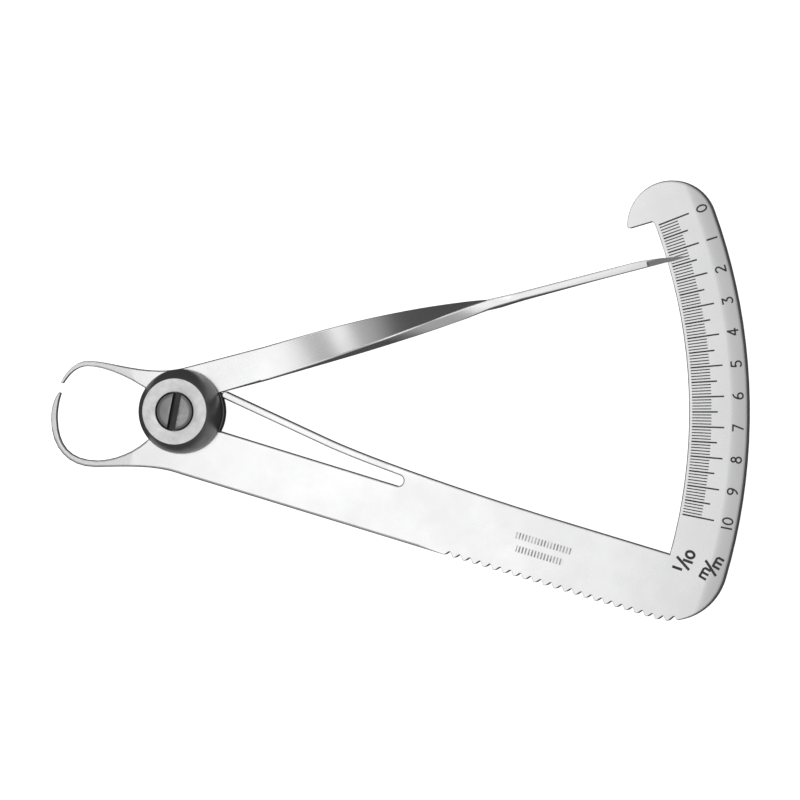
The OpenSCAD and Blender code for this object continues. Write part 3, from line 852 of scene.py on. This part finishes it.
class CALIPER_OT_pivot(Operator):
    """Build the pivot: front disc, rear disc and slotted screw, turned on the lathe"""
    bl_idname = "caliper.pivot"
    bl_label = "Pivot discs and screw"

    def execute(self, context):
        low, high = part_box("front_disc")
        rim, base, top = high.x, low.z, high.z
        flat_r, well_r, bore_r = 4.65 * MM, 2.75 * MM, 1.35 * MM
        seat = top - 1.35 * MM
        flank_steps, hollow = 12, 2.1
        flank = []
        for step in range(flank_steps + 1):
            share = step / flank_steps
            inward = (rim - flat_r - 0.06 * MM) * share ** hollow
            flank.append((rim - inward, base + 0.3 * MM + (top - base - 0.36 * MM) * share))
        profile = [(4.1 * MM, base), (rim - 0.12 * MM, base), (rim - 0.03 * MM, base + 0.04 * MM),
                   *flank, (flat_r, top), (flat_r - 0.06 * MM, top), (3.7 * MM, top),
                   (well_r + 0.16 * MM, top), (well_r + 0.05 * MM, top - 0.03 * MM),
                   (well_r, top - 0.12 * MM), (well_r, seat), (bore_r, seat),
                   (bore_r, base + 0.66 * MM), (4.1 * MM, base + 0.4 * MM), (4.1 * MM, base)]
        disc = turned("disc_front", profile)
        smooth_with_flat_faces(disc)
        # The flat top ring takes the matt steel and every other face takes the second material. Its
        # darker colour is painted shade for the dark surroundings the flank mirrors, its lower
        # roughness is a real polish, and its base also carries painted shade at the seam on the
        # plate.
        put_in_place(disc, "front_disc", "frame", "turned_steel",
                     turned_steel("Matt turned steel", 1.0, 0.42, 1.2e-6),
                     turned_steel("Polished turned steel with painted shade", 0.46, 0.36, 3e-7, seam_z=base))
        for face in disc.data.polygons:
            flat_ring = face.normal.z > 0.9 and face.center.z > top - 0.1 * MM
            face.material_index = 0 if flat_ring else 1

        low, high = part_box("rear_disc")
        rim = high.x
        rear = turned("disc_rear", [
            (0.4 * MM, low.z), (rim - 0.46 * MM, low.z), (rim - 0.38 * MM, low.z + 0.02 * MM),
            (rim - 0.03 * MM, low.z + 0.36 * MM), (rim, low.z + 0.46 * MM),
            (rim, high.z - 0.12 * MM), (rim - 0.04 * MM, high.z - 0.03 * MM),
            (rim - 0.12 * MM, high.z), (2.3 * MM, high.z), (2.3 * MM, high.z - 0.5 * MM),
            (0.4 * MM, high.z - 0.5 * MM)])
        smooth_with_flat_faces(rear)
        put_in_place(rear, "rear_disc", "frame", "turned_steel",
                     turned_steel("Turned steel, rear", 0.6, 0.3, 8e-7))

        low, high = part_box("pivot_screw")
        head_r, shank_r, head_top = high.x, 1.25 * MM, high.z
        seat = head_top - 1.6 * MM
        crown = [(head_r * share, head_top - 0.1 * MM * share ** 2) for share in
                 (0.9, 0.75, 0.55, 0.35, 0.15)]
        screw = turned("screw_turned", [
            (0.3 * MM, low.z), (shank_r - 0.2 * MM, low.z), (shank_r, low.z + 0.2 * MM),
            (shank_r, seat), (head_r - 0.05 * MM, seat), (head_r, seat + 0.05 * MM),
            (head_r, head_top - 0.42 * MM), (head_r - 0.04 * MM, head_top - 0.28 * MM),
            (head_r - 0.12 * MM, head_top - 0.18 * MM), *crown])
        bpy.ops.mesh.primitive_cube_add(size=1, location=(0, 0, head_top))
        cutter = context.object
        slot_width, slot_depth, slot_turn = 1.15 * MM, 0.9 * MM, math.radians(79)
        cutter.scale = (8 * MM, slot_width, 2 * slot_depth)
        cutter.rotation_euler.z = slot_turn
        bpy.ops.object.transform_apply(location=True, rotation=True, scale=True)
        make_active(screw)
        bpy.ops.object.modifier_add(type="BOOLEAN")
        screw.modifiers[-1].object = cutter
        screw.modifiers[-1].solver = "EXACT"
        bpy.ops.object.modifier_apply(modifier=screw.modifiers[-1].name)
        bpy.data.objects.remove(cutter)
        apply_bevel(screw, context.scene.caliper_sizes.screw_round, 2, limit="ANGLE",
                    angle=math.radians(50))
        smooth_with_flat_faces(screw)
        # The screw's steel carries painted shade in its slot. It gets darker from 0.2 mm below the
        # head's top downwards.
        put_in_place(screw, "pivot_screw", "frame", "screw_steel",
                     turned_steel("Screw steel", 0.33, 0.3, 1.0e-6,
                                  seam_z=head_top - 0.95 * MM))
        return {"FINISHED"}


class CALIPER_OT_bearing(Operator):
    """Give the hidden bearing parts their finishes: sleeve, disc spring and bronze shim"""
    bl_idname = "caliper.bearing"
    bl_label = "Bearing parts"

    def execute(self, context):
        finish_node("disc_spring", turned_steel("Spring steel", 0.62, 0.32, 4e-7))
        finish_node("pivot_sleeve", turned_steel("Ground sleeve steel", 0.8, 0.25, 3e-7))
        bronze, tree, shader = principled(
            "Rolled bronze", 1.0, 0.35, tuple(context.scene.caliper_finish.bronze_colour))
        grain = add_group(tree, grain_group())
        rough = map_range(tree, grain.outputs["Cloud"], 0.3, 0.7, 0.28, 0.45)
        tree.links.new(rough, shader.inputs["Roughness"])
        add_bump(tree, shader, grain.outputs["Height"])
        finish_node("shim_washer", bronze)
        return {"FINISHED"}


class CALIPER_OT_engraving(Operator):
    """Fill the engraved marks, figures and unit signs with matt black"""
    bl_idname = "caliper.engraving"
    bl_label = "Filled engraving"

    def execute(self, context):
        filling = black_filling()
        for node in ("tenth_marks", "half_marks", "millimetre_marks", "scale_numerals",
                     "unit_marks"):
            finish_node(node, filling)
        return {"FINISHED"}


def soft_light(name, place, aim, size_x, size_y, power):
    data = bpy.data.lights.new(name, "AREA")
    data.shape = "RECTANGLE"
    data.size, data.size_y = size_x, size_y
    data.energy = power
    light = bpy.data.objects.new(name, data)
    bpy.context.scene.collection.objects.link(light)
    light.location = place
    light.rotation_euler = (Vector(aim) - Vector(place)).to_track_quat("-Z", "Y").to_euler()


def studio_world():
    """Sky that is bright overhead and falls to near black at the horizon."""
    world = bpy.data.worlds.new("Soft studio")
    world.use_nodes = True
    tree = world.node_tree
    coordinate = tree.nodes.new("ShaderNodeTexCoord")
    z = split_xyz(tree, coordinate.outputs["Generated"])[2]
    ramp = tree.nodes.new("ShaderNodeValToRGB")
    while len(ramp.color_ramp.elements) < len(SKY_STOPS):
        ramp.color_ramp.elements.new(0.5)
    for element, (place, level) in zip(ramp.color_ramp.elements, SKY_STOPS):
        element.position = place
        element.color = (level, level, level, 1)
    tree.links.new(z, ramp.inputs["Fac"])
    background = tree.nodes["Background"]
    tree.links.new(ramp.outputs["Color"], background.inputs["Color"])
    background.inputs["Strength"].default_value = 1.0
    return world


def floor_material():
    """Pale floor: nearly white to the eye, and darker in reflections, as in a shaded light tent."""
    material = bpy.data.materials.new("Pale floor")
    material.use_nodes = True
    tree = material.node_tree
    tree.nodes.clear()
    output = tree.nodes.new("ShaderNodeOutputMaterial")
    path = tree.nodes.new("ShaderNodeLightPath")
    mix = tree.nodes.new("ShaderNodeMixShader")
    seen = tree.nodes.new("ShaderNodeAddShader")
    glow = tree.nodes.new("ShaderNodeEmission")
    glow.inputs["Color"].default_value = (1, 1, 1, 1)
    glow.inputs["Strength"].default_value = FLOOR_GLOW
    pale = tree.nodes.new("ShaderNodeBsdfDiffuse")
    pale.inputs["Color"].default_value = (FLOOR_PALE, FLOOR_PALE, FLOOR_PALE, 1)
    dark = tree.nodes.new("ShaderNodeBsdfDiffuse")
    dark.inputs["Color"].default_value = (FLOOR_DARK, FLOOR_DARK, FLOOR_DARK, 1)
    tree.links.new(glow.outputs[0], seen.inputs[0])
    tree.links.new(pale.outputs[0], seen.inputs[1])
    tree.links.new(path.outputs["Is Camera Ray"], mix.inputs[0])
    tree.links.new(dark.outputs[0], mix.inputs[1])
    tree.links.new(seen.outputs[0], mix.inputs[2])
    tree.links.new(mix.outputs[0], output.inputs["Surface"])
    return material


class CALIPER_OT_stage(Operator):
    """Set up the pale floor, the soft lights and the camera"""
    bl_idname = "caliper.stage"
    bl_label = "Stage"

    def execute(self, context):
        studio = context.scene.caliper_studio
        deselect_all()
        bpy.ops.mesh.primitive_plane_add(size=3, location=(0, 0, -0.02 * MM))
        floor = context.object
        floor.name = floor.data.name = "studio_floor"
        bpy.ops.object.transform_apply(location=True, rotation=False, scale=False)
        floor.data.materials.append(floor_material())

        middle = Vector((31.72 * MM, 1.62 * MM, PLATE_HIGH.z))
        # The top light hangs left of the pivot, where the tilted view meets it in the flat steel
        top_at, below_it = (-0.043, 0.0, 0.3), (-0.043, 0.0, 0.0)
        soft_light("Top light", top_at, below_it, 0.104, 0.2, studio.top_light)
        soft_light("Strip light", (-0.02, 0.26, 0.26), middle, 0.3, 0.09, studio.strip_light)
        context.scene.world = studio_world()

        data = bpy.data.cameras.new("Camera")
        data.sensor_width = SENSOR_WIDTH
        data.lens = SENSOR_WIDTH * studio.view_distance / studio.view_width
        data.clip_end = 10
        camera = bpy.data.objects.new("Camera", data)
        context.scene.collection.objects.link(camera)
        sight = Vector((math.sin(studio.tilt), 0, math.cos(studio.tilt)))
        camera.location = middle + sight * studio.view_distance
        camera.rotation_euler = (0, studio.tilt, 0)
        context.scene.camera = camera
        context.scene.view_settings.view_transform = "Standard"
        return {"FINISHED"}


OPERATORS = (CALIPER_OT_plate, CALIPER_OT_arm, CALIPER_OT_pivot, CALIPER_OT_bearing,
             CALIPER_OT_engraving, CALIPER_OT_stage)


class CALIPER_PT_panel(Panel):
    """Lists the caliper's pieces in the order they are built"""
    bl_idname = "CALIPER_PT_panel"
    bl_label = "Spring caliper"
    bl_space_type = "VIEW_3D"
    bl_region_type = "UI"
    bl_category = "Caliper"

    def draw(self, context):
        for operator in OPERATORS:
            self.layout.operator(operator.bl_idname)
        for settings in ("caliper_sizes", "caliper_finish", "caliper_studio"):
            group = getattr(context.scene, settings)
            box = self.layout.box()
            for name in group.__annotations__:
                box.prop(group, name)


SETTINGS = {"caliper_sizes": CaliperSizes, "caliper_finish": CaliperFinish,
            "caliper_studio": CaliperStudio}
CLASSES = (*SETTINGS.values(), *OPERATORS, CALIPER_PT_panel)


def register():
    for each in CLASSES:
        bpy.utils.register_class(each)
    for name, group in SETTINGS.items():
        setattr(bpy.types.Scene, name, PointerProperty(type=group))


def unregister():
    for name in SETTINGS:
        delattr(bpy.types.Scene, name)
    for each in reversed(CLASSES):
        bpy.utils.unregister_class(each)


def main():
    register()
    bpy.ops.caliper.stage()
    bpy.ops.caliper.plate()
    bpy.ops.caliper.arm()
    bpy.ops.caliper.pivot()
    bpy.ops.caliper.bearing()
    bpy.ops.caliper.engraving()


if __name__ == "__main__":
    main()
